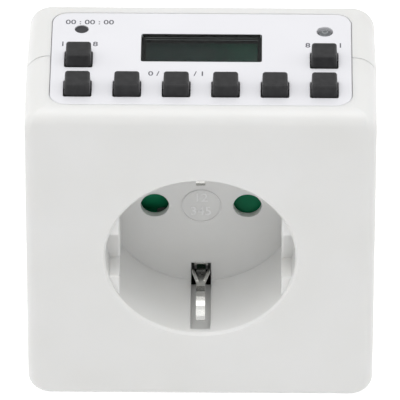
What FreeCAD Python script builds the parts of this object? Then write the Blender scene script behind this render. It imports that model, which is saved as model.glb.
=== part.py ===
import FreeCAD, Part
import math
import os

os.makedirs("parts", exist_ok=True)

# Millimetres. While it is built, X is to the right, Y runs from the front face into the wall,
# Z is up and the socket's axis is at X 0, Z 0. save() moves every piece to the row frame.

# body
body_width = 71.1
front_narrowing = 0.12
back_narrowing = 0.4
body_depth = 38.0
parting_y = 19.6
top_z = 36.35
bottom_z = -35.45
edge_radius = 4.6
front_round = 1.8
top_round = 3.0
back_round = 1.5
wall = 2.0
parting_gap = 0.2
tongue_length = 1.6
tongue_thick = 1.0
tongue_clear = 0.1

# socket well
well_radius = 19.3
well_depth = 18.1
well_wall = 1.6
floor_thick = 1.5
rim_bevel = 0.5
guide_inset = 2.85
guide_start = 1.0
guide_edge = 0.45
notch_half = 5.25
notch_depth = 6.4
pin_spacing = 19.0
pin_radius = 2.4
pin_hole_radius = 2.9
centre_disc_radius = 3.9
centre_disc_raise = 0.08
slot_half = 2.05
slot_inner_z = 14.7
slot_from_rim = 1.7
slot_depth = 2.2
slot_wall = 1.2

# control panel and what it carries
panel_side_margin = 5.05
panel_front_margin = 3.13
panel_back_margin = 3.0
panel_thick = 2.0
panel_radius = 3.5
panel_gap = 0.12
panel_gap_depth = 0.35
panel_edge = 0.22
ledge_thick = 1.2
ledge_width = 1.8
button_count = 6
row_side_margin = 2.8
opening_width = 5.75
opening_depth = 5.6
row_from_panel_front = 2.58
second_row_step = 10.1
cap_gap = 0.25
cap_height = 2.85
cap_edge = 0.5
cap_corner = 0.6
cap_draft = 0.12
flange_rim = 0.5
flange_thick = 0.8
slack = 0.05
press_travel = 0.8
plunger_radius = 1.7
plunger_depth = 1.95
switch_size = 6.0
switch_height = 3.5
switch_floor = 0.2
reset_side_margin = 6.1
small_hole_from_panel_back = 5.87
reset_hole_radius = 1.42
reset_sink = 0.15
led_side_margin = 5.5
led_forward = 0.45
led_radius = 1.5
led_hole_radius = 1.675
window_side_margin = 18.26
window_depth = 9.68
window_from_panel_back = 7.33
window_thick = 1.2
window_ledge = 0.8
window_gap = 0.05
glass_rim = 1.4
glass_thick = 1.1
reflector_thick = 0.3
holder_wall = 0.8
zebra_width = 1.6
board_drop = 5.5
board_thick = 1.2
board_margin = 1.45
board_post_radius = 1.6
board_post_gap = 2.46
front_post_from_panel_front = 10.66
rear_post_from_panel_back = 3.83
board_screw_radius = 0.9
board_screw_head = 1.7
board_screw_head_thick = 1.1
board_screw_bite = 3.4
cell_radius = 6.0
cell_thick = 4.8
cell_from_post = 9.0
cell_from_panel_back = 8.0
chip_radius = 4.0
chip_thick = 1.2
chip_x = 7.0
chip_from_panel_back = 10.0
crystal_length = 7.0
crystal_width = 2.2
crystal_past_post = 1.0
crystal_y = 17.0

# closing screws
screw_x_margin = 6.05
screw_upper_z = 20.0
screw_lower_z = -11.0
screw_radius = 1.5
screw_length = 22.0
screw_head_radius = 2.8
screw_head_thick = 2.1
post_radius = 3.2
tube_radius = 4.3
counterbore_radius = 3.2
counterbore_depth = 8.0
thread_gap = 0.02
shank_gap = 0.2

# child shutter and the plate behind it
shutter_radius = 13.2
shutter_thick = 1.8
shutter_gap = 0.2
shutter_angle = 38.0
ramp_half = 3.3
ramp_depth = 1.5
hub_radius = 2.0
hub_gap = 0.05
carrier_half_x = 18.2
carrier_half_z = 12.5
carrier_thick = 2.0
carrier_screw_x = 15.8
carrier_boss_radius = 2.2
carrier_screw_radius = 1.0
carrier_screw_head = 1.8
carrier_screw_head_thick = 1.2
carrier_screw_bite = 1.7
spring_radius = 2.7
spring_wire = 0.2
spring_turns = 3
spring_pitch = 0.5
tongue_half_x = 3.2
tongue_end = 2.2
tongue_slit = 0.1

# current path
clip_end_margin = 3.0
clip_inner_half = 2.35
clip_reach = 3.2
metal = 0.5
earth_half = 1.9
earth_z = 16.2
earth_metal = 0.8
contact_half = 0.95
shoulder_arm = 0.5
contact_metal = 0.6
bridge_gap = 3.75
bridge_half = 1.6
strap_half = 2.0
feed_below = 4.0
shoulder_start = 14.0
shoulder_full = 17.8

# plug
boss_radius = 18.4
boss_length = 17.5
boss_wall = 2.0
boss_half_flat = 16.2
boss_edge = 0.8
plug_pin_length = 19.0
plug_pin_inner = 9.5
plug_pin_tip = 1.0
pin_collar_radius = 2.8
pin_seat_gap = 0.02
seat_gap = 0.05
groove_half = 3.0
pin_block_gap = 0.2
pin_block_half_z = 5.5
earth_end_margin = 2.5

# power board
power_board_thick = 1.6
power_board_back_gap = 0.4
power_board_top_z = -13.5
power_board_edge = 0.6
post_gap = 0.3
relay_width = 20.3
relay_height = 10.3
relay_length = 15.8
low_gap = 0.6
side_gap = 1.7
part_gap = 1.2
board_end_gap = 0.5
mains_width = 16.5
mains_height = 6.0
mains_length = 11.0
can_radius = 4.0
can_length = 11.5
fuse_radius = 3.5
fuse_length = 7.5
low_row_axis = 5.0
varistor_radius = 5.0
varistor_thick = 3.8
varistor_lead = 1.25
lead_radius = 0.35
diode_count = 4
diode_radius = 1.3
diode_length = 4.6
diode_pitch = 3.4
diode_end_gap = 5.55
diode_drop = 9.1
diode_lift = 1.9
wire_count = 5
wire_radius = 0.5
wire_pitch = 1.2
wire_end_gap = 13.75
wire_drop = 3.1
live_foot = 4.0


def block(x0, x1, y0, y1, z0, z1):
    return Part.makeBox(x1 - x0, y1 - y0, z1 - z0, FreeCAD.Vector(x0, y0, z0))


def rod_x(radius, y, z, x0, x1):
    return Part.makeCylinder(radius, x1 - x0, FreeCAD.Vector(x0, y, z), FreeCAD.Vector(1, 0, 0))


def rod_y(radius, x, z, y0, y1):
    return Part.makeCylinder(radius, y1 - y0, FreeCAD.Vector(x, y0, z), FreeCAD.Vector(0, 1, 0))


def rod_z(radius, x, y, z0, z1):
    return Part.makeCylinder(radius, z1 - z0, FreeCAD.Vector(x, y, z0), FreeCAD.Vector(0, 0, 1))


def soften(shape, axis, radius):
    """Round the straight edges that run along one axis."""
    chosen = []
    for edge in shape.Edges:
        if len(edge.Vertexes) < 2:
            continue
        run = edge.Vertexes[1].Point - edge.Vertexes[0].Point
        if run.Length > 1e-6 and run.cross(axis).Length < 1e-6:
            chosen.append(edge)
    return shape.makeFillet(radius, chosen)


def soften_plane(shape, coordinate, value, radius):
    """Round the edges that lie wholly in one plane."""
    chosen = []
    for edge in shape.Edges:
        box = edge.BoundBox
        low = {"x": box.XMin, "y": box.YMin, "z": box.ZMin}[coordinate]
        high = {"x": box.XMax, "y": box.YMax, "z": box.ZMax}[coordinate]
        if abs(low - value) < 1e-4 and abs(high - value) < 1e-4:
            chosen.append(edge)
    return shape.makeFillet(radius, chosen)


def section(half_width, low, high, radius, y):
    """A rounded rectangle across the body at depth y."""
    short = radius * (1 - math.sqrt(0.5))
    corners = []
    for side_x, side_z in ((1, -1), (1, 1), (-1, 1), (-1, -1)):
        corners.append((side_x * half_width, high if side_z > 0 else low, side_x, side_z))
    arcs = []
    for index, (x, z, side_x, side_z) in enumerate(corners):
        along_z = FreeCAD.Vector(x, y, z - side_z * radius)
        middle = FreeCAD.Vector(x - side_x * short, y, z - side_z * short)
        along_x = FreeCAD.Vector(x - side_x * radius, y, z)
        if index % 2:
            arcs.append((along_z, middle, along_x))
        else:
            arcs.append((along_x, middle, along_z))
    edges = []
    for index, arc in enumerate(arcs):
        edges.append(Part.Arc(*arc).toShape())
        edges.append(Part.makeLine(arc[2], arcs[(index + 1) % 4][0]))
    return Part.Wire(edges)


def tapered(half_near, near_y, half_far, far_y):
    """A block whose sides lean, with its four long edges rounded."""
    shape = Part.makeWedge(-half_near, near_y, bottom_z, bottom_z, -half_far,
                           half_near, far_y, top_z, top_z, half_far)
    long_edges = []
    for edge in shape.Edges:
        if edge.BoundBox.YLength > (far_y - near_y) / 2:
            long_edges.append(edge)
    return shape.makeFillet(edge_radius, long_edges)


def strip(points, thickness, half_width):
    """A bent metal strip: points are (y, z) along its middle line."""
    left = []
    right = []
    for index, (y, z) in enumerate(points):
        before = points[max(index - 1, 0)]
        after = points[min(index + 1, len(points) - 1)]
        run_y = after[0] - before[0]
        run_z = after[1] - before[1]
        size = math.hypot(run_y, run_z)
        shift_y = -run_z / size * thickness / 2
        shift_z = run_y / size * thickness / 2
        left.append(FreeCAD.Vector(-half_width, y + shift_y, z + shift_z))
        right.append(FreeCAD.Vector(-half_width, y - shift_y, z - shift_z))
    loop = Part.makePolygon(left + right[::-1] + [left[0]])
    return Part.Face(loop).extrude(FreeCAD.Vector(2 * half_width, 0, 0))


def upside_down(shape):
    return shape.mirror(FreeCAD.Vector(0, 0, 0), FreeCAD.Vector(0, 0, 1))


def save(node, shape):
    placed = shape.copy()
    placed.translate(FreeCAD.Vector(0, -body_depth / 2, -bottom_z))
    placed.exportStep("parts/" + node + ".step")


# shared heights and depths
half_width = body_width / 2
inner_half_front = half_width - front_narrowing - wall
inner_half_back = half_width - back_narrowing - wall
panel_half = half_width - panel_side_margin
panel_front = panel_front_margin
panel_back = body_depth - panel_back_margin
panel_under = top_z - panel_thick
ledge_under = panel_under - ledge_thick
board_top = panel_under - board_drop
board_under = board_top - board_thick
switch_top = board_top + switch_height
flange_top = panel_under - slack
flange_under = flange_top - flange_thick
floor_back = well_depth + floor_thick
shutter_front = floor_back + shutter_gap
shutter_back = shutter_front + shutter_thick
carrier_front = shutter_back + shutter_gap
carrier_back = carrier_front + carrier_thick
pin_x = pin_spacing / 2
back_inner = body_depth - wall
boss_end = body_depth + boss_length
screw_x = half_width - screw_x_margin
screw_places = [(-screw_x, screw_upper_z), (screw_x, screw_upper_z)]
screw_places += [(-screw_x, screw_lower_z), (screw_x, screw_lower_z)]
screw_seat = body_depth - counterbore_depth
well_outer = well_radius + well_wall
guide_x = well_radius - guide_inset
front_row_y = panel_front + row_from_panel_front + opening_depth / 2
second_row_y = front_row_y + second_row_step
small_hole_y = panel_back - small_hole_from_panel_back
reset_x = -panel_half + reset_side_margin
led_x = panel_half - led_side_margin
led_y = small_hole_y - led_forward
button_pitch = (2 * (panel_half - row_side_margin) - opening_width) / (button_count - 1)
row_start = -button_pitch * (button_count - 1) / 2
button_places = []
for index in range(button_count):
    button_places.append((row_start + index * button_pitch, front_row_y))
button_places.append((row_start, second_row_y))
button_places.append((-row_start, second_row_y))
window_half = panel_half - window_side_margin
glass_half = window_half + glass_rim
window_back = panel_back - window_from_panel_back
window_front = window_back - window_depth
board_post_x = glass_half + holder_wall + board_post_gap + board_post_radius
board_post_places = []
for side in (-1, 1):
    board_post_places.append((side * board_post_x, panel_front + front_post_from_panel_front))
    board_post_places.append((side * board_post_x, panel_back - rear_post_from_panel_back))

# front shell
front_outer = tapered(half_width - front_narrowing, 0, half_width, parting_y)
front_outer = soften_plane(front_outer, "y", 0, front_round)
# the front's top edge has the larger round
top_guard = block(-half_width - 1, half_width + 1, 0, body_depth, bottom_z - 1, top_z)
top_edges = []
for edge in top_guard.Edges:
    if edge.BoundBox.YMax < 1e-4 and edge.BoundBox.ZMin > top_z - 1e-4:
        top_edges.append(edge)
front_outer = front_outer.common(top_guard.makeFillet(top_round, top_edges))
inner_low = bottom_z + wall
front_cavity = block(-inner_half_front, inner_half_front, wall, parting_y + 1, inner_low, ledge_under)
front_cavity = soften(front_cavity, FreeCAD.Vector(0, 1, 0), edge_radius - wall)
well_tube = rod_y(well_outer, 0, 0, wall / 2, floor_back)
front_shell = front_outer.cut(front_cavity).fuse(well_tube)
for x, z in screw_places:
    post = rod_y(post_radius, x, z, wall / 2, parting_y - tongue_length)
    outside = block(-half_width, half_width, 0, body_depth, bottom_z, top_z)
    front_shell = front_shell.fuse(post.common(outside))
for side in (-1, 1):
    boss = rod_y(carrier_boss_radius, side * carrier_screw_x, 0, floor_back - 0.5, carrier_front)
    front_shell = front_shell.fuse(boss)
well = rod_y(well_radius, 0, 0, -1, well_depth)
for side in (-1, 1):
    reach = well_radius + 1
    near = min(side * guide_x, side * reach)
    far = max(side * guide_x, side * reach)
    guide = block(near, far, guide_start, well_depth, -reach, reach)
    notch = block(near, far, guide_start - 1, guide_start + notch_depth, -notch_half, notch_half)
    well = well.cut(guide.cut(notch))
bevel = Part.makeCone(well_radius + rim_bevel, well_radius, rim_bevel,
                      FreeCAD.Vector(0, 0, 0), FreeCAD.Vector(0, 1, 0))
well = well.cut(rod_y(centre_disc_radius, 0, 0, well_depth - centre_disc_raise, well_depth + 1))
slot_end = well_outer + slot_depth - well_wall
for side in (-1, 1):
    channel = block(-slot_half - slot_wall, slot_half + slot_wall, wall / 2, floor_back,
                    well_radius, slot_end + slot_wall)
    if side < 0:
        channel = upside_down(channel)
    front_shell = front_shell.fuse(channel)
front_shell = front_shell.cut(well).cut(bevel)
guide_edges = []
for edge in front_shell.Edges:
    box = edge.BoundBox
    on_guide = abs(abs(box.XMin) - guide_x) < 1e-4 and abs(abs(box.XMax) - guide_x) < 1e-4
    from_start = abs(box.YMin - guide_start)
    from_notch = abs(box.YMin - guide_start - notch_depth)
    flat = box.YLength < 1e-4 and min(from_start, from_notch) < 1e-4
    if on_guide and flat:
        guide_edges.append(edge)
front_shell = front_shell.makeFillet(guide_edge, guide_edges)
for side in (-1, 1):
    front_shell = front_shell.cut(rod_y(pin_hole_radius, side * pin_x, 0, well_depth - 1, floor_back + 1))
    slot = block(-slot_half, slot_half, slot_from_rim, floor_back + 1, slot_inner_z, slot_end)
    if side < 0:
        slot = upside_down(slot)
    front_shell = front_shell.cut(slot)
    pilot_depth = carrier_back - carrier_screw_bite - carrier_thick - 0.1
    pilot = rod_y(carrier_screw_radius + thread_gap, side * carrier_screw_x, 0, pilot_depth, carrier_front + 1)
    front_shell = front_shell.cut(pilot)
for x, z in screw_places:
    pilot = rod_y(screw_radius + thread_gap, x, z, screw_seat - screw_length - 0.3, parting_y)
    front_shell = front_shell.cut(pilot)
panel_room = block(-panel_half, panel_half, panel_front, panel_back, panel_under, top_z + 1)
panel_room = soften(panel_room, FreeCAD.Vector(0, 0, 1), panel_radius)
panel_window = block(-panel_half + ledge_width, panel_half - ledge_width,
                     panel_front + ledge_width, panel_back - ledge_width, ledge_under - 1, panel_under + 1)
front_shell = front_shell.cut(panel_room).cut(panel_window)
save("front_shell", front_shell)

# rear shell with the plug's round body
rear_front = parting_y + parting_gap
rear_outer = tapered(half_width, rear_front, half_width - back_narrowing, body_depth)
rear_outer = soften_plane(rear_outer, "y", body_depth, back_round)
rear_cavity = block(-inner_half_back, inner_half_back, parting_y - 1, back_inner, inner_low, ledge_under)
rear_cavity = soften(rear_cavity, FreeCAD.Vector(0, 1, 0), edge_radius - wall)
tongue_half = inner_half_front - tongue_clear
tongue = block(-tongue_half, tongue_half, parting_y - tongue_length, rear_front + 0.5,
               inner_low + tongue_clear, screw_upper_z - tube_radius)
tongue = soften(tongue, FreeCAD.Vector(0, 1, 0), edge_radius - wall)
tongue_hollow = block(-tongue_half + tongue_thick, tongue_half - tongue_thick, 0, body_depth,
                      inner_low + tongue_clear + tongue_thick, top_z)
tongue = tongue.cut(tongue_hollow)
for x, z in screw_places:
    tongue = tongue.cut(rod_y(tube_radius + slack, x, z, 0, body_depth))
rear_shell = rear_outer.cut(rear_cavity)
for x, z in screw_places:
    tube = rod_y(tube_radius, x, z, parting_y - tongue_length, body_depth - wall / 2)
    keep = block(-half_width + back_narrowing, half_width - back_narrowing, rear_front, body_depth,
                 bottom_z, top_z)
    keep = keep.fuse(block(-tongue_half, tongue_half, 0, body_depth, inner_low + tongue_clear, top_z))
    rear_shell = rear_shell.fuse(tube.common(keep))
rear_shell = rear_shell.fuse(tongue)
seat_y = body_depth - wall / 2
flat_x = boss_half_flat
earth_end = boss_end - earth_end_margin


def plug_round(radius, half_flat, y0, y1):
    """A round bar along Y with a flat on each side."""
    side_cut = block(-half_flat, half_flat, y0, y1, -radius - 1, radius + 1)
    return rod_y(radius, 0, 0, y0, y1).common(side_cut)


hollow = plug_round(boss_radius - boss_wall, flat_x - boss_wall, back_inner - 1, boss_end - boss_wall)
rear_shell = rear_shell.cut(hollow)
rear_shell = rear_shell.cut(plug_round(boss_radius + seat_gap, flat_x + seat_gap, seat_y, body_depth + 1))
beds = []
for side in (-1, 1):
    bed = block(-earth_half - slack, earth_half + slack, back_inner - 1, earth_end + slack,
                earth_z - slack, earth_z + earth_metal + slack)
    if side < 0:
        bed = upside_down(bed)
    rear_shell = rear_shell.cut(bed)
    beds.append(bed)
for x, z in screw_places:
    rear_shell = rear_shell.cut(rod_y(counterbore_radius, x, z, screw_seat, body_depth + 1))
    rear_shell = rear_shell.cut(rod_y(screw_radius + shank_gap, x, z, 0, body_depth))
rear_shell = rear_shell.cut(panel_room).cut(panel_window)
save("rear_shell", rear_shell)

# the plug's round body, seated in the back
plug_body = soften_plane(plug_round(boss_radius, flat_x, seat_y, boss_end), "y", boss_end, boss_edge)
pad_low = earth_z - 1.5
for side in (-1, 1):
    pad = block(-groove_half - 0.6, groove_half + 0.6, 0, boss_end, pad_low, boss_radius)
    if side < 0:
        pad = upside_down(pad)
    hollow = hollow.cut(pad)
plug_body = plug_body.cut(hollow)
for side, bed in zip((-1, 1), beds):
    groove = block(-groove_half, groove_half, body_depth, boss_end + 1, earth_z + earth_metal, boss_radius + 1)
    if side < 0:
        groove = upside_down(groove)
    plug_body = plug_body.cut(groove).cut(bed)
    seat = rod_y(pin_collar_radius + pin_seat_gap, side * pin_x, 0, body_depth, boss_end + 1)
    plug_body = plug_body.cut(seat)
save("plug_body", plug_body)

# closing screws, one group
screws = []
for x, z in screw_places:
    head = rod_y(screw_head_radius, x, z, screw_seat, screw_seat + screw_head_thick)
    head = soften_plane(head, "y", screw_seat + screw_head_thick, 0.6)
    shank = rod_y(screw_radius, x, z, screw_seat - screw_length, screw_seat)
    cross = block(x - 1.7, x + 1.7, screw_seat + 1, screw_seat + screw_head_thick + 1, z - 0.3, z + 0.3)
    cross = cross.fuse(block(x - 0.3, x + 0.3, screw_seat + 1, screw_seat + screw_head_thick + 1,
                             z - 1.7, z + 1.7))
    screws.append(head.fuse(shank).cut(cross))
save("closing_screws", Part.makeCompound(screws))

# control panel
panel = block(-panel_half + panel_gap, panel_half - panel_gap, panel_front + panel_gap,
              panel_back - panel_gap, panel_under, top_z)
panel = soften(panel, FreeCAD.Vector(0, 0, 1), panel_radius - panel_gap)
panel = soften_plane(panel, "z", top_z, panel_edge)
skirt = block(-panel_half + slack, panel_half - slack, panel_front + slack, panel_back - slack,
              panel_under, top_z - panel_gap_depth)
panel = panel.fuse(soften(skirt, FreeCAD.Vector(0, 0, 1), panel_radius - slack))
for x, y in board_post_places:
    panel = panel.fuse(rod_z(board_post_radius, x, y, board_top, panel_under + 0.5))
for x, y in board_post_places:
    pilot = rod_z(board_screw_radius + thread_gap, x, y, board_top - 1,
                  board_under + board_screw_bite + 0.3)
    panel = panel.cut(pilot)
for x, y in button_places:
    opening = block(x - opening_width / 2, x + opening_width / 2, y - opening_depth / 2,
                    y + opening_depth / 2, panel_under - 1, top_z + 1)
    panel = panel.cut(soften(opening, FreeCAD.Vector(0, 0, 1), 0.4))
window_hole = block(-window_half, window_half, window_front, window_back, top_z - window_thick, top_z + 1)
window_hole = soften(window_hole, FreeCAD.Vector(0, 0, 1), 0.5)
window_through = block(-window_half + window_ledge, window_half - window_ledge,
                       window_front + window_ledge, window_back - window_ledge, panel_under - 1, top_z)
panel = panel.cut(window_hole).cut(window_through)
panel = panel.cut(rod_z(reset_hole_radius, reset_x, small_hole_y, panel_under - 1, top_z + 1))
panel = panel.cut(rod_z(led_hole_radius, led_x, led_y, panel_under - 1, top_z + 1))
save("control_panel", panel)

# window and display
window = block(-window_half + window_gap, window_half - window_gap, window_front + window_gap,
               window_back - window_gap, top_z - window_thick, top_z - slack)
save("display_window", soften(window, FreeCAD.Vector(0, 0, 1), 0.5 - window_gap))
glass_front = window_front - glass_rim
glass_back = window_back + glass_rim
glass_top = panel_under - slack
upper_glass = block(-glass_half, glass_half, glass_front + zebra_width, glass_back - zebra_width,
                    glass_top - glass_thick, glass_top)
save("display_front_glass", upper_glass)
lower_top = glass_top - glass_thick
lower_glass = block(-glass_half, glass_half, glass_front, glass_back, lower_top - glass_thick, lower_top)
save("display_rear_glass", lower_glass)
reflector_top = lower_top - glass_thick
reflector = block(-glass_half, glass_half, glass_front + zebra_width, glass_back - zebra_width,
                  reflector_top - reflector_thick, reflector_top)
save("display_reflector", reflector)
holder = block(-glass_half - holder_wall, glass_half + holder_wall, glass_front - holder_wall,
               glass_back + holder_wall, board_top, glass_top)
holder = holder.cut(block(-glass_half - slack, glass_half + slack, glass_front - slack,
                          glass_back + slack, reflector_top - reflector_thick - slack, top_z))
holder = holder.cut(block(-glass_half + 1.2, glass_half - 1.2, glass_front - slack,
                          glass_back + slack, board_top - 1, top_z))
save("display_holder", holder)
zebras = []
for low in (glass_front, glass_back - zebra_width + slack):
    zebras.append(block(-glass_half + 1.4, glass_half - 1.4, low, low + zebra_width - slack,
                        board_top, reflector_top))
save("display_connectors", Part.makeCompound(zebras))

# control board
board_half = panel_half - board_margin
board_front = panel_front + board_margin
board_back = panel_back - 0.4
board = block(-board_half, board_half, board_front, board_back, board_under, board_top)
for x, y in board_post_places:
    board = board.cut(rod_z(board_screw_radius + 0.15, x, y, board_under - 1, board_top + 1))
save("control_board", board)
board_screws = []
for x, y in board_post_places:
    head = rod_z(board_screw_head, x, y, board_under - board_screw_head_thick, board_under)
    shank = rod_z(board_screw_radius, x, y, board_under, board_under + board_screw_bite)
    slot = block(x - 1.1, x + 1.1, y - 0.2, y + 0.2, board_under - 2, board_under - 0.6)
    board_screws.append(head.fuse(shank).cut(slot))
save("board_screws", Part.makeCompound(board_screws))

# push buttons: a cap, the plunger under it and the switch body on the board
cap_width = opening_width - 2 * cap_gap
cap_depth = opening_depth - 2 * cap_gap
plunger_low = flange_under - plunger_depth
switches = []


def cap_loop(x, y, inset, z):
    """The cap's rounded outline at one height."""
    loop = section(cap_width / 2 - inset, -cap_depth / 2 + inset, cap_depth / 2 - inset, cap_corner, 0)
    loop.rotate(FreeCAD.Vector(0, 0, 0), FreeCAD.Vector(1, 0, 0), 90)
    loop.translate(FreeCAD.Vector(x, y, z))
    return loop


def switch_at(x, y):
    half = switch_size / 2
    body = soften(block(x - half, x + half, y - half, y + half, board_top, switch_top),
                  FreeCAD.Vector(0, 0, 1), 0.4)
    bore = rod_z(plunger_radius + slack, x, y, plunger_low - press_travel - switch_floor, switch_top + 1)
    return body.cut(bore)


for number, (x, y) in enumerate(button_places, 1):
    cap = Part.makeLoft([cap_loop(x, y, 0, flange_under), cap_loop(x, y, 0, top_z),
                         cap_loop(x, y, cap_draft, top_z + cap_height)], True, True)
    cap = soften_plane(cap, "z", top_z + cap_height, cap_edge)
    flange = block(x - opening_width / 2 - flange_rim, x + opening_width / 2 + flange_rim,
                   y - opening_depth / 2 - flange_rim, y + opening_depth / 2 + flange_rim,
                   flange_under, flange_top)
    save("button_%d" % number, cap.fuse(flange))
    save("plunger_%d" % number, rod_z(plunger_radius, x, y, plunger_low, flange_under))
    switches.append(switch_at(x, y))
reset_pin = rod_z(reset_hole_radius - 0.1, reset_x, small_hole_y, flange_under, top_z - reset_sink)
reset_flange = rod_z(reset_hole_radius + 1.0, reset_x, small_hole_y, flange_under, flange_top)
save("reset_button", reset_pin.fuse(reset_flange))
save("reset_plunger", rod_z(plunger_radius, reset_x, small_hole_y, plunger_low, flange_under))
switches.append(switch_at(reset_x, small_hole_y))
save("switch_bodies", Part.makeCompound(switches))

# status light
led_top = top_z - led_radius * 0.9
led = rod_z(led_radius, led_x, led_y, board_top + 2, led_top)
dome = Part.makeSphere(led_radius, FreeCAD.Vector(led_x, led_y, led_top))
dome = dome.common(rod_z(led_radius + 1, led_x, led_y, led_top, top_z + 2))
led = led.fuse(dome).fuse(rod_z(led_radius + 0.3, led_x, led_y, board_top + 2, board_top + 2.7))
save("status_light", led)
legs = []
for side in (-1, 1):
    leg_x = led_x + side * 0.9
    legs.append(block(leg_x - 0.25, leg_x + 0.25, led_y - 0.25, led_y + 0.25,
                      board_top, board_top + 2))
save("status_light_legs", Part.makeCompound(legs))

# parts under the control board
cell_x = -board_post_x + cell_from_post
cell_low = board_under - cell_thick
cell = rod_z(cell_radius, cell_x, panel_back - cell_from_panel_back, cell_low, board_under)
save("backup_cell", soften_plane(cell, "z", cell_low, 0.6))
chip_low = board_under - chip_thick
chip = rod_z(chip_radius, chip_x, panel_back - chip_from_panel_back, chip_low, board_under)
save("controller_chip", soften_plane(chip, "z", chip_low, 0.8))
crystal_end = board_post_x + crystal_past_post
save("timing_crystal", block(crystal_end - crystal_length, crystal_end, crystal_y,
                             crystal_y + crystal_width, board_under - crystal_width, board_under))

# child shutter
shutter = rod_y(shutter_radius, 0, 0, shutter_front, shutter_back)
angle = math.radians(shutter_angle)
for side in (-1, 1):
    hole_x = side * pin_x * math.cos(angle)
    hole_z = side * pin_x * math.sin(angle)
    shutter = shutter.cut(rod_y(pin_hole_radius + 0.1, hole_x, hole_z, 0, body_depth))
    low = -side * ramp_half
    ramp = Part.Face(Part.makePolygon([
        FreeCAD.Vector(side * pin_x - ramp_half, shutter_front, low),
        FreeCAD.Vector(side * pin_x - ramp_half, shutter_front, -low),
        FreeCAD.Vector(side * pin_x - ramp_half, shutter_front + ramp_depth, -low),
        FreeCAD.Vector(side * pin_x - ramp_half, shutter_front, low),
    ])).extrude(FreeCAD.Vector(2 * ramp_half, 0, 0))
    shutter = shutter.cut(ramp)
shutter = shutter.cut(rod_y(hub_radius + hub_gap, 0, 0, 0, body_depth))
save("shutter", shutter)

# plate that holds the shutter and the contacts
carrier = soften(block(-carrier_half_x, carrier_half_x, carrier_front, carrier_back,
                       -carrier_half_z, carrier_half_z), FreeCAD.Vector(0, 1, 0), 3.0)
carrier = carrier.fuse(block(-tongue_half_x, tongue_half_x, carrier_front, carrier_back,
                             -earth_z - earth_metal - tongue_end, earth_z + earth_metal + tongue_end))
carrier = carrier.fuse(rod_y(hub_radius, 0, 0, floor_back, carrier_back + 2.0))
for side in (-1, 1):
    carrier = carrier.cut(rod_y(pin_hole_radius, side * pin_x, 0, carrier_front - 1, carrier_back + 1))
    carrier = carrier.cut(rod_y(carrier_screw_radius + 0.1, side * carrier_screw_x, 0,
                                carrier_front - 1, carrier_back + 1))
    slit = block(-earth_half - tongue_slit, earth_half + tongue_slit, carrier_front - 1, carrier_back + 1,
                 earth_z - tongue_slit, earth_z + earth_metal + tongue_slit)
    if side < 0:
        slit = upside_down(slit)
    carrier = carrier.cut(slit)
save("contact_plate", carrier)
plate_screws = []
for side in (-1, 1):
    x = side * carrier_screw_x
    head = rod_y(carrier_screw_head, x, 0, carrier_back, carrier_back + carrier_screw_head_thick)
    shank = rod_y(carrier_screw_radius, x, 0, carrier_front - carrier_screw_bite, carrier_back)
    slot = block(x - 0.2, x + 0.2, carrier_back + 0.6, carrier_back + 2, -1.2, 1.2)
    plate_screws.append(head.fuse(shank).cut(slot))
save("plate_screws", Part.makeCompound(plate_screws))
coil_points = []
for index in range(spring_turns * 16 + 1):
    turn = index / 16
    coil_points.append(FreeCAD.Vector(spring_radius * math.cos(2 * math.pi * turn),
                                      spring_radius * math.sin(2 * math.pi * turn), spring_pitch * turn))
coil_curve = Part.BSplineCurve()
coil_curve.interpolate(coil_points)
start_way = coil_curve.tangent(coil_curve.FirstParameter)[0]
profile = Part.Wire([Part.makeCircle(spring_wire, coil_points[0], start_way)])
coil = Part.Wire([coil_curve.toShape()]).makePipeShell([profile], True, True)
coil.rotate(FreeCAD.Vector(0, 0, 0), FreeCAD.Vector(1, 0, 0), -90)
coil.translate(FreeCAD.Vector(0, carrier_back + spring_wire + slack, 0))
save("shutter_spring", coil)

# live and neutral contacts
clip_outer = clip_inner_half + metal
web_x = pin_x + clip_reach
pin_inner_end = boss_end - plug_pin_inner
pin_block_half_x = flat_x - boss_wall - pin_block_gap
clip_end = back_inner - clip_end_margin


def clip(side):
    outer = block(pin_x - clip_reach, web_x + metal, carrier_back, clip_end,
                  -clip_outer, clip_outer)
    outer = outer.cut(block(pin_x - clip_reach - 1, web_x, carrier_back - 1,
                            clip_end + 1, -clip_inner_half, clip_inner_half))
    if side < 0:
        outer = outer.mirror(FreeCAD.Vector(0, 0, 0), FreeCAD.Vector(1, 0, 0))
    return outer


neutral = clip(1)
neutral = neutral.fuse(block(web_x, web_x + metal, clip_end - 1, pin_inner_end, -strap_half, strap_half))
neutral = neutral.fuse(block(pin_x - strap_half, web_x + metal, pin_inner_end - metal, pin_inner_end,
                            -strap_half, strap_half))
save("neutral_contact", neutral)
tail_y = carrier_back + 2.75
relay_top_z = inner_low + power_board_edge + low_gap + relay_height
live = clip(-1)
live = live.fuse(block(-web_x - metal, -web_x, tail_y, tail_y + 3, relay_top_z, -clip_inner_half))
live = live.fuse(block(-web_x - live_foot, -web_x, tail_y, tail_y + 3, relay_top_z, relay_top_z + metal))
save("live_contact", live)
power_front = back_inner - power_board_back_gap - power_board_thick
power_back = power_front + power_board_thick
feed_low = power_board_top_z - 2.5
feed = block(-web_x - metal, -pin_x + strap_half, pin_inner_end - metal, pin_inner_end,
             -strap_half, strap_half)
feed_front = clip_end + 0.4
feed = feed.fuse(block(-web_x - metal, -web_x, feed_front, pin_inner_end, -feed_below, strap_half))
feed = feed.fuse(block(-web_x - metal, -web_x, feed_front, power_back, feed_low, -3))
save("live_feed_strap", feed)

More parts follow.
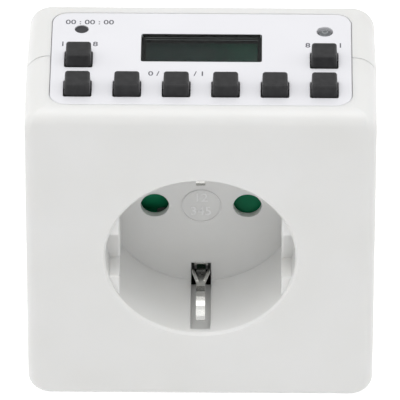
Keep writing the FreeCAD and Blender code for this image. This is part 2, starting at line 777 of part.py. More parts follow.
# earth strips: the spring contact in the well, then a strap to the plug
contact_path = [(floor_back + 1.5, earth_z + earth_metal / 2), (floor_back - 1.2, 17.2), (12.0, 16.4),
                (8.0, 14.8), (7.0, 14.5), (6.2, 14.55), (5.4, 15.0), (4.6, 15.5), (4.1, 16.1),
                (3.2, 17.1), (2.9, 17.8)]
earth = block(-earth_half, earth_half, floor_back + 0.8, earth_end, earth_z, earth_z + earth_metal)
earth = earth.fuse(strip(contact_path, contact_metal, contact_half))


def shoulder_sheet(inset, end_y):
    """The flared sheet between the strip in the well and the strap behind it."""
    narrow = contact_half - inset
    wide = earth_half - inset
    outline = [(-narrow, shoulder_start), (narrow, shoulder_start), (wide, shoulder_full), (wide, end_y),
               (-wide, end_y), (-wide, shoulder_full), (-narrow, shoulder_start)]
    loop = Part.makePolygon([FreeCAD.Vector(x, y, earth_z) for x, y in outline])
    return Part.Face(loop).extrude(FreeCAD.Vector(0, 0, earth_metal))


shoulder = shoulder_sheet(0, floor_back + 1).cut(shoulder_sheet(shoulder_arm, floor_back + 0.6))
earth = earth.fuse(shoulder)
save("earth_strip_top", earth)
save("earth_strip_bottom", upside_down(earth))
bridge_y = carrier_back + bridge_gap
bridge = block(-bridge_half, bridge_half, bridge_y, bridge_y + earth_metal, -earth_z, earth_z)
save("earth_bridge", bridge)

# plug pins and the block that holds them
for side, name in ((-1, "left"), (1, "right")):
    pin = rod_y(pin_radius, side * pin_x, 0, pin_inner_end, boss_end + plug_pin_length)
    pin = soften_plane(pin, "y", boss_end + plug_pin_length, plug_pin_tip)
    pin = pin.fuse(rod_y(pin_collar_radius, side * pin_x, 0, pin_inner_end + 1, boss_end))
    save("plug_pin_" + name, pin)
pin_block = block(-pin_block_half_x, pin_block_half_x, pin_inner_end + 1.2, boss_end - boss_wall,
                  -pin_block_half_z, pin_block_half_z)
pin_block = soften(pin_block, FreeCAD.Vector(0, 1, 0), 2.5)
for side in (-1, 1):
    seat = rod_y(pin_collar_radius + pin_seat_gap, side * pin_x, 0, body_depth, boss_end)
    pin_block = pin_block.cut(seat)
save("pin_block", pin_block)

# power board and its parts
power_half = inner_half_back - power_board_edge
power_low = inner_low + power_board_edge
power_board = block(-power_half, power_half, power_front, power_back, power_low, power_board_top_z)
power_board = soften(power_board, FreeCAD.Vector(0, 1, 0), 2.2)
for x, z in screw_places:
    power_board = power_board.cut(rod_y(tube_radius + post_gap, x, z, 0, body_depth))
power_board = power_board.cut(block(-web_x - metal - 0.1, -web_x + 0.1, 0, body_depth,
                                    feed_low - 0.1, top_z))
power_board = power_board.cut(block(-earth_half - 0.4, earth_half + 0.4, 0, body_depth,
                                    -earth_z - earth_metal - 0.4, 0))
save("power_board", power_board)
relay_x = -inner_half_back + side_gap
relay_front = power_front - relay_length
relay = block(relay_x, relay_x + relay_width, relay_front, power_front,
              relay_top_z - relay_height, relay_top_z)
save("relay", soften_plane(soften(relay, FreeCAD.Vector(0, 1, 0), 0.6), "y", relay_front, 0.6))
mains_end = power_half - board_end_gap
mains_low = power_low + low_gap
mains_cap = block(mains_end - mains_width, mains_end, power_front - mains_length, power_front,
                  mains_low, mains_low + mains_height)
save("mains_capacitor", soften(mains_cap, FreeCAD.Vector(0, 1, 0), 0.5))
can_x = mains_end - mains_width - part_gap - can_radius
can_front = power_front - can_length
can = rod_y(can_radius, can_x, power_low + low_row_axis, can_front, power_front)
save("smoothing_capacitor", soften_plane(can, "y", can_front, 0.4))
fuse_x = can_x - can_radius - part_gap - fuse_radius
fuse_front = power_front - fuse_length
fuse_body = rod_y(fuse_radius, fuse_x, power_low + low_row_axis, fuse_front, power_front)
save("fuse", soften_plane(fuse_body, "y", fuse_front, 0.5))
varistor_x = relay_x + varistor_radius + 0.3
varistor_y = power_front - varistor_radius - 1
varistor_low = relay_top_z + 1.05
varistor_top = varistor_low + varistor_thick
varistor = rod_z(varistor_radius, varistor_x, varistor_y, varistor_low, varistor_top)
varistor = soften_plane(soften_plane(varistor, "z", varistor_low, 0.8), "z", varistor_top, 0.8)
for side in (-1, 1):
    varistor = varistor.fuse(rod_y(lead_radius, varistor_x + side * varistor_lead,
                                   (varistor_low + varistor_top) / 2, power_front - 3, power_front))
save("varistor", varistor)
diodes = []
diode_low = power_board_top_z - diode_drop
for index in range(diode_count):
    x = power_half - diode_end_gap - index * diode_pitch
    body = rod_z(diode_radius, x, power_front - diode_lift, diode_low, diode_low + diode_length)
    for z in (diode_low + 0.2, diode_low + diode_length - 0.2):
        body = body.fuse(rod_y(lead_radius, x, z, power_front - diode_lift, power_front))
    diodes.append(body)
save("rectifier_diodes", Part.makeCompound(diodes))
wires = []
for index in range(wire_count):
    wires.append(rod_z(wire_radius, power_half - wire_end_gap + index * wire_pitch,
                       power_front - wire_radius, power_board_top_z - wire_drop, board_under))
save("link_cable", Part.makeCompound(wires))
print("parts written")
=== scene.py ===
import bpy
import bmesh
import math
from mathutils import Matrix, Vector


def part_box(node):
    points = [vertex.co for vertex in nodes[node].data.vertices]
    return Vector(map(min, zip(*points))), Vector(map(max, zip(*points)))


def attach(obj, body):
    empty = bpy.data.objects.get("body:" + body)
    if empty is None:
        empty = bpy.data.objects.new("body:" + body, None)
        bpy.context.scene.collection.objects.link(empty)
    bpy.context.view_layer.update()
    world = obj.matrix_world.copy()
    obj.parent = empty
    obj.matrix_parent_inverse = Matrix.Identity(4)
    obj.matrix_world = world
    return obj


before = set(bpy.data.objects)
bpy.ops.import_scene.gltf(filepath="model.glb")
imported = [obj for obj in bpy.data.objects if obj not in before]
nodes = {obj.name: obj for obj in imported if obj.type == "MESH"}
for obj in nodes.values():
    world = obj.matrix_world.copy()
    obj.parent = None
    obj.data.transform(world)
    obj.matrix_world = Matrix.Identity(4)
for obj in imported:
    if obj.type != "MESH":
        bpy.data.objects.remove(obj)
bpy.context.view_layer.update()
scene = bpy.context.scene
mm = 0.001
print("frame loaded:", len(nodes), "nodes")


def toLinear(red, green, blue):
    # colours below are written as they look on a screen, 0 to 255
    linear = []
    for level in (red, green, blue):
        share = level / 255
        linear.append(share / 12.92 if level <= 10 else ((share + 0.055) / 1.055) ** 2.4)
    return tuple(linear) + (1,)


# small helpers for node trees
def startMaterial(name):
    material = bpy.data.materials.new(name)
    material.use_nodes = True
    shader = material.node_tree.nodes["Principled BSDF"]
    return material, material.node_tree, shader


def objectPoint(tree):
    return tree.nodes.new("ShaderNodeTexCoord").outputs["Object"]


def noise(tree, point, scale, detail=3.0, rough=0.5):
    node = tree.nodes.new("ShaderNodeTexNoise")
    node.inputs["Scale"].default_value = scale
    node.inputs["Detail"].default_value = detail
    node.inputs["Roughness"].default_value = rough
    tree.links.new(point, node.inputs["Vector"])
    return node.outputs["Fac"]


def spread(tree, value, low, high, fromLow=0.3, fromHigh=0.7):
    node = tree.nodes.new("ShaderNodeMapRange")
    node.inputs["From Min"].default_value = fromLow
    node.inputs["From Max"].default_value = fromHigh
    node.inputs["To Min"].default_value = low
    node.inputs["To Max"].default_value = high
    tree.links.new(value, node.inputs["Value"])
    return node.outputs["Result"]


def blendColours(tree, value, first, second):
    node = tree.nodes.new("ShaderNodeMix")
    node.data_type = "RGBA"
    tree.links.new(value, node.inputs["Factor"])
    for socket, colour in (("A", first), ("B", second)):
        target = [s for s in node.inputs if s.name == socket and s.type == "RGBA"][0]
        if isinstance(colour, tuple):
            target.default_value = colour
        else:
            tree.links.new(colour, target)
    return [s for s in node.outputs if s.type == "RGBA"][0]


# camera, set from the fitted view of the photograph: angles in degrees, places in metres
cameraValues = {"focalPixels": 7310, "pictureWidth": 400, "sensor": 36, "distance": 1.475, "elevation": 36.71,
                "azimuth": 0.5, "roll": 0.06, "target": (-0.00008, -0.019, 0.05037), "farthest": 20}


def placeCamera(values):
    tilt = math.radians(values["elevation"])
    aside = math.radians(values["azimuth"])
    back = Vector((math.sin(aside) * math.cos(tilt), -math.cos(aside) * math.cos(tilt), math.sin(tilt)))
    right = Vector((math.cos(aside), math.sin(aside), 0))
    up = back.cross(right)
    turn = Matrix((right, up, back)).transposed().to_4x4()
    data = bpy.data.cameras.new("photoCamera")
    data.sensor_width = values["sensor"]
    data.lens = values["sensor"] * values["focalPixels"] / values["pictureWidth"]
    data.clip_end = values["farthest"]
    camera = bpy.data.objects.new("photoCamera", data)
    scene.collection.objects.link(camera)
    camera.matrix_world = (Matrix.Translation(Vector(values["target"]) + back * values["distance"])
                           @ turn @ Matrix.Rotation(math.radians(values["roll"]), 4, "Z"))
    scene.camera = camera


placeCamera(cameraValues)
scene.view_settings.view_transform = "Standard"


# lamps, world and floor: the world glows brighter overhead and to the left and right
studioValues = {"horizon": 0.47, "zenith": 1.66, "risesFrom": 0.7, "sides": 1.7, "sideFocus": 6.0,
                "keyWatts": 2.65, "keySize": 0.6, "keyPlace": (-0.05, -0.3, 0.8), "keyAim": (0, 0, 0.04),
                "floorSize": 3.0, "floorColour": (246, 246, 246), "shownGlow": 0.8, "bounceGlow": 0.03}


def backgroundRays(tree):
    # 1 for rays that show the background: seen straight, in gloss or through glass
    path = tree.nodes.new("ShaderNodeLightPath")
    total = path.outputs["Is Camera Ray"]
    for kind in ("Is Glossy Ray", "Is Transmission Ray"):
        adder = tree.nodes.new("ShaderNodeMath")
        adder.operation = "ADD"
        adder.use_clamp = True
        tree.links.new(total, adder.inputs[0])
        tree.links.new(path.outputs[kind], adder.inputs[1])
        total = adder.outputs[0]
    return total


def areaLamp(name, watts, size, place, aim):
    data = bpy.data.lights.new(name, "AREA")
    data.shape = "SQUARE"
    data.size = size
    data.energy = watts
    lamp = bpy.data.objects.new(name, data)
    lamp.location = place
    lamp.rotation_euler = (Vector(aim) - Vector(place)).to_track_quat("-Z", "Y").to_euler()
    scene.collection.objects.link(lamp)


def makeWorld(values):
    world = bpy.data.worlds.new("paleStudio")
    scene.world = world
    world.use_nodes = True
    tree = world.node_tree
    tree.nodes.clear()
    output = tree.nodes.new("ShaderNodeOutputWorld")
    mixer = tree.nodes.new("ShaderNodeMixShader")
    ambient = tree.nodes.new("ShaderNodeBackground")
    direction = tree.nodes.new("ShaderNodeTexCoord")
    split = tree.nodes.new("ShaderNodeSeparateXYZ")
    tree.links.new(direction.outputs["Generated"], split.inputs[0])
    height = spread(tree, split.outputs["Z"], values["horizon"], values["zenith"], values["risesFrom"], 1.0)
    across = tree.nodes.new("ShaderNodeMath")
    across.operation = "ABSOLUTE"
    sides = tree.nodes.new("ShaderNodeMath")
    sides.operation = "POWER"
    sides.inputs[1].default_value = values["sideFocus"]
    total = tree.nodes.new("ShaderNodeMath")
    total.operation = "MULTIPLY_ADD"
    total.inputs[1].default_value = values["sides"]
    tree.links.new(split.outputs["X"], across.inputs[0])
    tree.links.new(across.outputs[0], sides.inputs[0])
    tree.links.new(sides.outputs[0], total.inputs[0])
    tree.links.new(height, total.inputs[2])
    tree.links.new(total.outputs[0], ambient.inputs["Strength"])
    shown = tree.nodes.new("ShaderNodeBackground")
    shown.inputs["Strength"].default_value = 1.0
    shown.inputs["Color"].default_value = (1, 1, 1, 1)
    tree.links.new(backgroundRays(tree), mixer.inputs[0])
    tree.links.new(ambient.outputs[0], mixer.inputs[1])
    tree.links.new(shown.outputs[0], mixer.inputs[2])
    tree.links.new(mixer.outputs[0], output.inputs["Surface"])


def makeFloor(values):
    half = values["floorSize"] / 2
    corners = [(-half, -half, 0), (half, -half, 0), (half, half, 0), (-half, half, 0)]
    mesh = bpy.data.meshes.new("paleFloor")
    mesh.from_pydata(corners, [], [(0, 1, 2, 3)])
    floor = bpy.data.objects.new("paleFloor", mesh)
    scene.collection.objects.link(floor)
    material = bpy.data.materials.new("floorPaper")
    material.use_nodes = True
    tree = material.node_tree
    tree.nodes.clear()
    output = tree.nodes.new("ShaderNodeOutputMaterial")
    paper = tree.nodes.new("ShaderNodeBsdfDiffuse")
    paper.inputs["Color"].default_value = toLinear(*values["floorColour"])
    glow = tree.nodes.new("ShaderNodeEmission")
    glow.inputs["Color"].default_value = (1, 1, 1, 1)
    strength = spread(tree, backgroundRays(tree), values["bounceGlow"], values["shownGlow"], 0.0, 1.0)
    both = tree.nodes.new("ShaderNodeAddShader")
    tree.links.new(strength, glow.inputs["Strength"])
    tree.links.new(paper.outputs[0], both.inputs[0])
    tree.links.new(glow.outputs[0], both.inputs[1])
    tree.links.new(both.outputs[0], output.inputs["Surface"])
    mesh.materials.append(material)


makeWorld(studioValues)
areaLamp("keySoftbox", studioValues["keyWatts"], studioValues["keySize"], studioValues["keyPlace"],
         studioValues["keyAim"])
makeFloor(studioValues)
print("camera, lamps and floor placed")


# finishes
def edgeHighlightMask(tree, radius, softness):
    # 1 on edges, where a paler colour is painted as a highlight: where a rounded normal leaves the true one
    bevel = tree.nodes.new("ShaderNodeBevel")
    bevel.samples = 4
    bevel.inputs["Radius"].default_value = radius
    geometry = tree.nodes.new("ShaderNodeNewGeometry")
    dot = tree.nodes.new("ShaderNodeVectorMath")
    dot.operation = "DOT_PRODUCT"
    tree.links.new(bevel.outputs[0], dot.inputs[0])
    tree.links.new(geometry.outputs["Normal"], dot.inputs[1])
    return spread(tree, dot.outputs["Value"], 1.0, 0.0, 1.0 - softness, 1.0), bevel.outputs[0]


def colourDrift(tree, drift, values):
    # slow change between a finish's two colours
    first = toLinear(*values["colour"])
    second = toLinear(*values["colour2"])
    return blendColours(tree, spread(tree, drift, 0.0, 1.0), first, second)


def setRoughness(tree, shader, drift, span):
    tree.links.new(spread(tree, drift, span[0], span[1]), shader.inputs["Roughness"])


def setBump(tree, shader, height, strength, depth, normal=None):
    # depth in millimetres
    bump = tree.nodes.new("ShaderNodeBump")
    bump.inputs["Strength"].default_value = strength
    bump.inputs["Distance"].default_value = depth * mm
    tree.links.new(height, bump.inputs["Height"])
    if normal:
        tree.links.new(normal, bump.inputs["Normal"])
    tree.links.new(bump.outputs[0], shader.inputs["Normal"])


# what a plastic has unless its own dictionary says otherwise: noise scales per metre, lengths in millimetres
plasticUsual = {"driftScale": 60, "smudgeScale": 110, "grainScale": 2600, "bump": 0.12, "grainDepth": 0.02,
                "edge": 0.25, "highlightSoftness": 0.35, "specular": 0.5, "scatter": 0.0, "scatterReach": 1.0,
                "scatterColours": (1.0, 0.95, 0.9)}


def plastic(name, given):
    # moulded plastic: fine spark texture, slow colour drift, edges painted paler as a highlight
    values = {**plasticUsual, **given}
    material, tree, shader = startMaterial(name)
    point = objectPoint(tree)
    base = colourDrift(tree, noise(tree, point, values["driftScale"], 2.0), values)
    edgeHighlight, softNormal = edgeHighlightMask(tree, values["edge"] * mm, values["highlightSoftness"])
    # painted highlight: the rounded edges take the paler edge colour
    base = blendColours(tree, edgeHighlight, base, toLinear(*values["edgeHighlightColour"]))
    tree.links.new(base, shader.inputs["Base Color"])
    smudge = noise(tree, point, values["smudgeScale"], 4.0, 0.6)
    setRoughness(tree, shader, smudge, values["rough"])
    grain = noise(tree, point, values["grainScale"], 2.0)
    setBump(tree, shader, grain, values["bump"], values["grainDepth"], softNormal)
    shader.inputs["Specular IOR Level"].default_value = values["specular"]
    shader.inputs["Subsurface Weight"].default_value = values["scatter"]
    shader.inputs["Subsurface Radius"].default_value = values["scatterColours"]
    shader.inputs["Subsurface Scale"].default_value = values["scatterReach"] * mm
    return material


metalUsual = {"stretch": (1, 0.04, 1), "lineScale": 5200, "patchScale": 260, "bump": 0.1, "lineDepth": 0.01,
              "edge": 0.1, "highlightSoftness": 0.3}


def metal(name, given):
    # stamped or turned metal: drawn lines along one way, dull patches
    values = {**metalUsual, **given}
    material, tree, shader = startMaterial(name)
    point = objectPoint(tree)
    stretch = tree.nodes.new("ShaderNodeMapping")
    stretch.inputs["Scale"].default_value = values["stretch"]
    tree.links.new(point, stretch.inputs["Vector"])
    lines = noise(tree, stretch.outputs[0], values["lineScale"], 2.0)
    patches = noise(tree, point, values["patchScale"], 4.0, 0.6)
    tree.links.new(colourDrift(tree, patches, values), shader.inputs["Base Color"])
    setRoughness(tree, shader, patches, values["rough"])
    shader.inputs["Metallic"].default_value = 1.0
    softNormal = edgeHighlightMask(tree, values["edge"] * mm, values["highlightSoftness"])[1]
    setBump(tree, shader, lines, values["bump"], values["lineDepth"], softNormal)
    return material


def glassPane(name, values):
    # clear moulded window: a faint haze in its tint and its roughness
    material, tree, shader = startMaterial(name)
    haze = noise(tree, objectPoint(tree), values["hazeScale"], 3.0)
    setRoughness(tree, shader, haze, values["rough"])
    tree.links.new(colourDrift(tree, haze, values), shader.inputs["Base Color"])
    shader.inputs["Transmission Weight"].default_value = 1.0
    shader.inputs["IOR"].default_value = values["ior"]
    return material


def boardFinish(name, values):
    # circuit board: mask with tracks showing through as paler lines
    material, tree, shader = startMaterial(name)
    point = objectPoint(tree)
    second = toLinear(*values["colour2"])
    brick = tree.nodes.new("ShaderNodeTexBrick")
    brick.inputs["Scale"].default_value = values["trackScale"]
    brick.inputs["Mortar Size"].default_value = values["trackWidth"]
    brick.inputs["Color1"].default_value = toLinear(*values["colour"])
    brick.inputs["Color2"].default_value = second
    brick.inputs["Mortar"].default_value = toLinear(*values["track"])
    tree.links.new(point, brick.inputs["Vector"])
    weave = noise(tree, point, values["weaveScale"], 2.0)
    shade = blendColours(tree, spread(tree, weave, 0.0, values["weaveShare"]), brick.outputs["Color"], second)
    tree.links.new(shade, shader.inputs["Base Color"])
    setRoughness(tree, shader, weave, values["rough"])
    setBump(tree, shader, brick.outputs["Fac"], values["bump"], values["trackDepth"])
    return material


def displayFinish(name, values):
    # dark liquid crystal pane, greener towards the right
    material, tree, shader = startMaterial(name)
    point = objectPoint(tree)
    split = tree.nodes.new("ShaderNodeSeparateXYZ")
    tree.links.new(point, split.inputs[0])
    greenFrom, greenTo = values["greenSpan"]
    side = spread(tree, split.outputs["X"], 0.0, 1.0, greenFrom * mm, greenTo * mm)
    cloud = noise(tree, point, values["cloudScale"], 3.0)
    base = blendColours(tree, side, toLinear(*values["colour"]), toLinear(*values["green"]))
    share = spread(tree, cloud, 0.0, values["cloudShare"])
    base = blendColours(tree, share, base, toLinear(*values["colour2"]))
    tree.links.new(base, shader.inputs["Base Color"])
    setRoughness(tree, shader, cloud, values["rough"])
    shader.inputs["Specular IOR Level"].default_value = values["specular"]
    return material


def lampFinish(name, values):
    # lamp lens: painted highlight rings and painted shade at the rim, by distance from its axis
    material, tree, shader = startMaterial(name)
    point = objectPoint(tree)
    centre = tree.nodes.new("ShaderNodeVectorMath")
    centre.operation = "SUBTRACT"
    centre.inputs[1].default_value = values["centre"]
    tree.links.new(point, centre.inputs[0])
    flat = tree.nodes.new("ShaderNodeVectorMath")
    flat.operation = "MULTIPLY"
    flat.inputs[1].default_value = (1, 1, 0)
    tree.links.new(centre.outputs[0], flat.inputs[0])
    reach = tree.nodes.new("ShaderNodeVectorMath")
    reach.operation = "LENGTH"
    tree.links.new(flat.outputs[0], reach.inputs[0])
    ramp = tree.nodes.new("ShaderNodeValToRGB")
    tree.links.new(spread(tree, reach.outputs["Value"], 0.0, 1.0, 0.0, values["radius"] * mm), ramp.inputs[0])
    stops = ramp.color_ramp.elements
    while len(stops) < len(values["rings"]):
        stops.new(0.5)
    for stop, (place, shade) in zip(stops, values["rings"]):
        stop.position = place
        stop.color = toLinear(*shade)
    cloud = noise(tree, point, values["cloudScale"], 3.0)
    share = spread(tree, cloud, 0.0, values["cloudShare"])
    base = blendColours(tree, share, ramp.outputs["Color"], toLinear(*values["cloud"]))
    tree.links.new(base, shader.inputs["Base Color"])
    setRoughness(tree, shader, cloud, values["rough"])
    shader.inputs["Specular IOR Level"].default_value = values["specular"]
    return material


# housing and controls
housingWhite = plastic("housingWhite", {
    "colour": (228, 228, 226), "colour2": (231, 231, 230), "edgeHighlightColour": (240, 240, 240),
    "rough": (0.36, 0.46), "grainScale": 3200, "bump": 0.08, "scatter": 0.4, "scatterReach": 1.6})
panelWhite = plastic("panelWhite", {
    "colour": (232, 232, 236), "colour2": (235, 235, 239), "edgeHighlightColour": (243, 243, 245),
    "rough": (0.34, 0.42), "grainScale": 3600, "bump": 0.06})
# painted highlight: paler white for the raised ring and numbers on the well's disc
discHighlightWhite = plastic("discHighlightWhite", {
    "colour": (250, 250, 250), "colour2": (246, 246, 246), "edgeHighlightColour": (254, 254, 254),
    "rough": (0.4, 0.5), "driftScale": 300})
capSmoke = plastic("capSmoke", {
    "colour": (48, 48, 49), "colour2": (56, 56, 57), "edgeHighlightColour": (158, 158, 160),
    "rough": (0.32, 0.44), "edge": 0.34, "driftScale": 700, "grainScale": 5200, "bump": 0.1,
    "specular": 0.12})
resetGrey = plastic("resetGrey", {
    "colour": (61, 61, 63), "colour2": (67, 67, 69), "edgeHighlightColour": (116, 116, 118),
    "rough": (0.36, 0.48), "driftScale": 700, "grainScale": 5200, "specular": 0.12})
shutterGreen = plastic("shutterGreen", {
    "colour": (16, 106, 72), "colour2": (18, 118, 80), "edgeHighlightColour": (30, 130, 92),
    "rough": (0.34, 0.46), "driftScale": 300, "specular": 0.08})

# print on the panel, the window and the display
# also the painted shade of the liners in the gaps round the caps
maskPrintAndShadeBlack = plastic("maskPrintAndShadeBlack", {
    "colour": (14, 15, 15), "colour2": (18, 19, 19), "edgeHighlightColour": (30, 31, 31),
    "rough": (0.4, 0.55), "driftScale": 500, "specular": 0.2})
lineGrey = plastic("lineGrey", {
    "colour": (92, 97, 96), "colour2": (104, 108, 108), "edgeHighlightColour": (110, 114, 114),
    "rough": (0.4, 0.5), "driftScale": 240})
printGrey = plastic("printGrey", {
    "colour": (84, 84, 92), "colour2": (96, 96, 104), "edgeHighlightColour": (104, 104, 112),
    "rough": (0.5, 0.6), "driftScale": 900})
digitGhost = plastic("digitGhost", {
    "colour": (18, 30, 28), "colour2": (22, 34, 32), "edgeHighlightColour": (24, 36, 34),
    "rough": (0.2, 0.3), "driftScale": 200, "specular": 0.05})

# inner parts
darkPlastic = plastic("darkPlastic", {
    "colour": (30, 30, 31), "colour2": (38, 38, 39), "edgeHighlightColour": (64, 64, 66),
    "rough": (0.45, 0.6), "driftScale": 400})
greyPlastic = plastic("greyPlastic", {
    "colour": (150, 152, 154), "colour2": (158, 160, 162), "edgeHighlightColour": (180, 182, 184),
    "rough": (0.4, 0.55), "driftScale": 300})
rubberPink = plastic("rubberPink", {
    "colour": (176, 122, 120), "colour2": (186, 134, 130), "edgeHighlightColour": (200, 150, 146),
    "rough": (0.6, 0.75), "driftScale": 900})
relayBlue = plastic("relayBlue", {
    "colour": (36, 74, 150), "colour2": (42, 82, 160), "edgeHighlightColour": (80, 116, 184),
    "rough": (0.3, 0.42), "driftScale": 240})
filmYellow = plastic("filmYellow", {
    "colour": (214, 176, 52), "colour2": (222, 186, 66), "edgeHighlightColour": (232, 204, 110),
    "rough": (0.28, 0.4), "driftScale": 260})
discBlue = plastic("discBlue", {
    "colour": (44, 96, 156), "colour2": (54, 106, 164), "edgeHighlightColour": (88, 134, 184),
    "rough": (0.3, 0.45), "driftScale": 420})
cableGrey = plastic("cableGrey", {
    "colour": (168, 168, 168), "colour2": (176, 176, 176), "edgeHighlightColour": (190, 190, 190),
    "rough": (0.5, 0.6), "driftScale": 500})
boardGreen = boardFinish("boardGreen", {
    "colour": (26, 92, 54), "colour2": (30, 100, 60), "track": (60, 132, 84), "rough": (0.25, 0.45),
    "trackScale": 300, "trackWidth": 0.03, "trackDepth": 0.03, "bump": 0.2, "weaveScale": 900,
    "weaveShare": 0.4})

# metals
nickel = metal("nickel", {
    "colour": (208, 208, 206), "colour2": (192, 192, 188), "rough": (0.16, 0.3)})
zincSteel = metal("zincSteel", {
    "colour": (188, 190, 190), "colour2": (168, 168, 164), "rough": (0.28, 0.45)})
sheetBrass = metal("sheetBrass", {
    "colour": (214, 178, 104), "colour2": (196, 158, 86), "rough": (0.22, 0.38)})
foilSilver = metal("foilSilver", {
    "colour": (186, 190, 186), "colour2": (174, 178, 174), "rough": (0.35, 0.5)})

# window, display and lamp
windowClear = glassPane("windowClear", {
    "colour": (236, 242, 240), "colour2": (228, 236, 234), "rough": (0.03, 0.08), "hazeScale": 180,
    "ior": 1.14})
displayDark = displayFinish("displayDark", {
    "colour": (24, 36, 34), "colour2": (28, 40, 39), "green": (18, 58, 44), "greenSpan": (-2, 12),
    "cloudScale": 260, "cloudShare": 0.5, "rough": (0.08, 0.16), "specular": 0.05})
lampLow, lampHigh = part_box("status_light")
lampMiddle = [(a + b) / 2 for a, b in zip(lampLow, lampHigh)]
# the pale rings are painted highlights, the dark rim is painted shade
lampGrey = lampFinish("lampGrey", {
    "centre": lampMiddle, "radius": 1.5, "cloud": (150, 152, 154), "cloudScale": 900, "cloudShare": 0.25,
    "rough": (0.12, 0.24), "specular": 0.25,
    "rings": ((0.0, (92, 96, 98)), (0.28, (100, 104, 106)), (0.36, (160, 164, 164)), (0.46, (88, 92, 94)),
              (0.66, (96, 100, 102)), (0.74, (144, 148, 150)), (0.84, (70, 74, 76)), (1.0, (52, 54, 56)))})
print("finishes made")

finishOf = {"front_shell": housingWhite, "rear_shell": housingWhite, "plug_body": housingWhite,
            "control_panel": panelWhite, "reset_button": resetGrey, "display_window": windowClear,
            "display_front_glass": displayDark, "display_rear_glass": displayDark,
            "display_reflector": foilSilver, "display_holder": darkPlastic, "display_connectors": rubberPink,
            "control_board": boardGreen, "power_board": boardGreen, "switch_bodies": darkPlastic,
            "reset_plunger": greyPlastic, "status_light": lampGrey, "status_light_legs": zincSteel,
            "shutter": shutterGreen, "contact_plate": greyPlastic, "shutter_spring": zincSteel,
            "board_screws": zincSteel, "closing_screws": zincSteel, "plate_screws": zincSteel,
            "earth_strip_top": nickel, "earth_strip_bottom": nickel, "earth_bridge": nickel,
            "plug_pin_left": nickel, "plug_pin_right": nickel, "pin_block": darkPlastic,
            "live_contact": sheetBrass, "neutral_contact": sheetBrass, "live_feed_strap": sheetBrass,
            "backup_cell": nickel, "timing_crystal": nickel, "controller_chip": darkPlastic,
            "relay": relayBlue, "mains_capacitor": filmYellow, "smoothing_capacitor": darkPlastic,
            "fuse": darkPlastic, "varistor": discBlue, "rectifier_diodes": darkPlastic,
            "link_cable": cableGrey}
for number in range(1, 9):
    finishOf["button_%d" % number] = capSmoke
    finishOf["plunger_%d" % number] = greyPlastic
for name, node in nodes.items():
    material = finishOf[name]
    for slot in node.material_slots:
        slot.material = material
    if not node.material_slots:
        node.data.materials.append(material)
print("finishes given to the nodes")


def box(name):
    low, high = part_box(name)
    return Vector(low), Vector(high)


def finishPiece(piece, material, body="housing"):
    piece.data.materials.clear()
    piece.data.materials.append(material)
    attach(piece, body)


def meshPiece(name, mesh):
    piece = bpy.data.objects.new(name, mesh)
    scene.collection.objects.link(piece)
    return piece


# a rectangular ring between two rectangles, used for the printed mask and the black liners of painted shade
def ring(work, outer, inner, low, high):
    rows = []
    for z in (low, high):
        for x0, x1, y0, y1 in (outer, inner):
            rows.append([work.verts.new((x, y, z)) for x, y in ((x0, y0), (x1, y0), (x1, y1), (x0, y1))])
    outerLow, innerLow, outerHigh, innerHigh = rows
    for k in range(4):
        n = (k + 1) % 4
        work.faces.new((outerLow[k], outerLow[n], outerHigh[n], outerHigh[k]))
        work.faces.new((innerLow[n], innerLow[k], innerHigh[k], innerHigh[n]))
        work.faces.new((outerHigh[k], outerHigh[n], innerHigh[n], innerHigh[k]))
        work.faces.new((outerLow[n], outerLow[k], innerLow[k], innerLow[n]))


def ringMesh(name, rings):
    work = bmesh.new()
    for values in rings:
        ring(work, *values)
    bmesh.ops.recalc_face_normals(work, faces=work.faces)
    mesh = bpy.data.meshes.new(name)
    work.to_mesh(mesh)
    work.free()
    return mesh


def inset(rectangle, amount):
    x0, x1, y0, y1 = rectangle
    return (x0 + amount, x1 - amount, y0 + amount, y1 - amount)


# printed mask on the back of the window, with a shade down to the display and a dark ring round the edge
maskValues = {"ledge": 0.8, "line": 0.16, "print": 0.02, "skin": 0.04, "wall": 0.2, "wallDrop": 0.05,
              "gap": 0.01, "backing": 0.002, "clear": 0.02}


def windowMask(values):
    low, high = box("display_window")
    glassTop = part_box("display_front_glass")[1][2]
    pane = (low.x, high.x, low.y, high.y)
    ledge = values["ledge"] * mm
    line = values["line"] * mm
    printed = values["print"] * mm
    skin = values["skin"] * mm
    wall = values["wall"] * mm
    gap = values["gap"] * mm
    clear = values["clear"] * mm
    bottom = low.z + printed
    opening = inset(pane, ledge)
    mask = meshPiece("windowMask", ringMesh("windowMask", [
        (inset(pane, gap), opening, low.z + values["backing"] * mm, bottom),
        (inset(pane, -wall), inset(pane, -gap), low.z, high.z - values["wallDrop"] * mm),
        (inset(opening, -gap), inset(opening, skin), glassTop + clear, low.z)]))
    finishPiece(mask, maskPrintAndShadeBlack)
    work = bmesh.new()
    for back in (pane[3] - clear, opening[3] + clear):
        y0, y1 = back - line, back
        corners = ((opening[0], y0), (opening[1], y0), (opening[1], y1), (opening[0], y1))
        work.faces.new([work.verts.new((x, y, bottom + printed)) for x, y in corners])
    mesh = bpy.data.meshes.new("windowLines")
    work.to_mesh(mesh)
    work.free()
    lines = meshPiece("windowLines", mesh)
    finishPiece(lines, lineGrey)


# sharp-edged black liners inside the openings: painted shade in the gaps round the caps
capGapShadeValues = {"opening": (5.75, 5.6), "skin": 0.05, "drop": 0.12, "depth": 1.9}


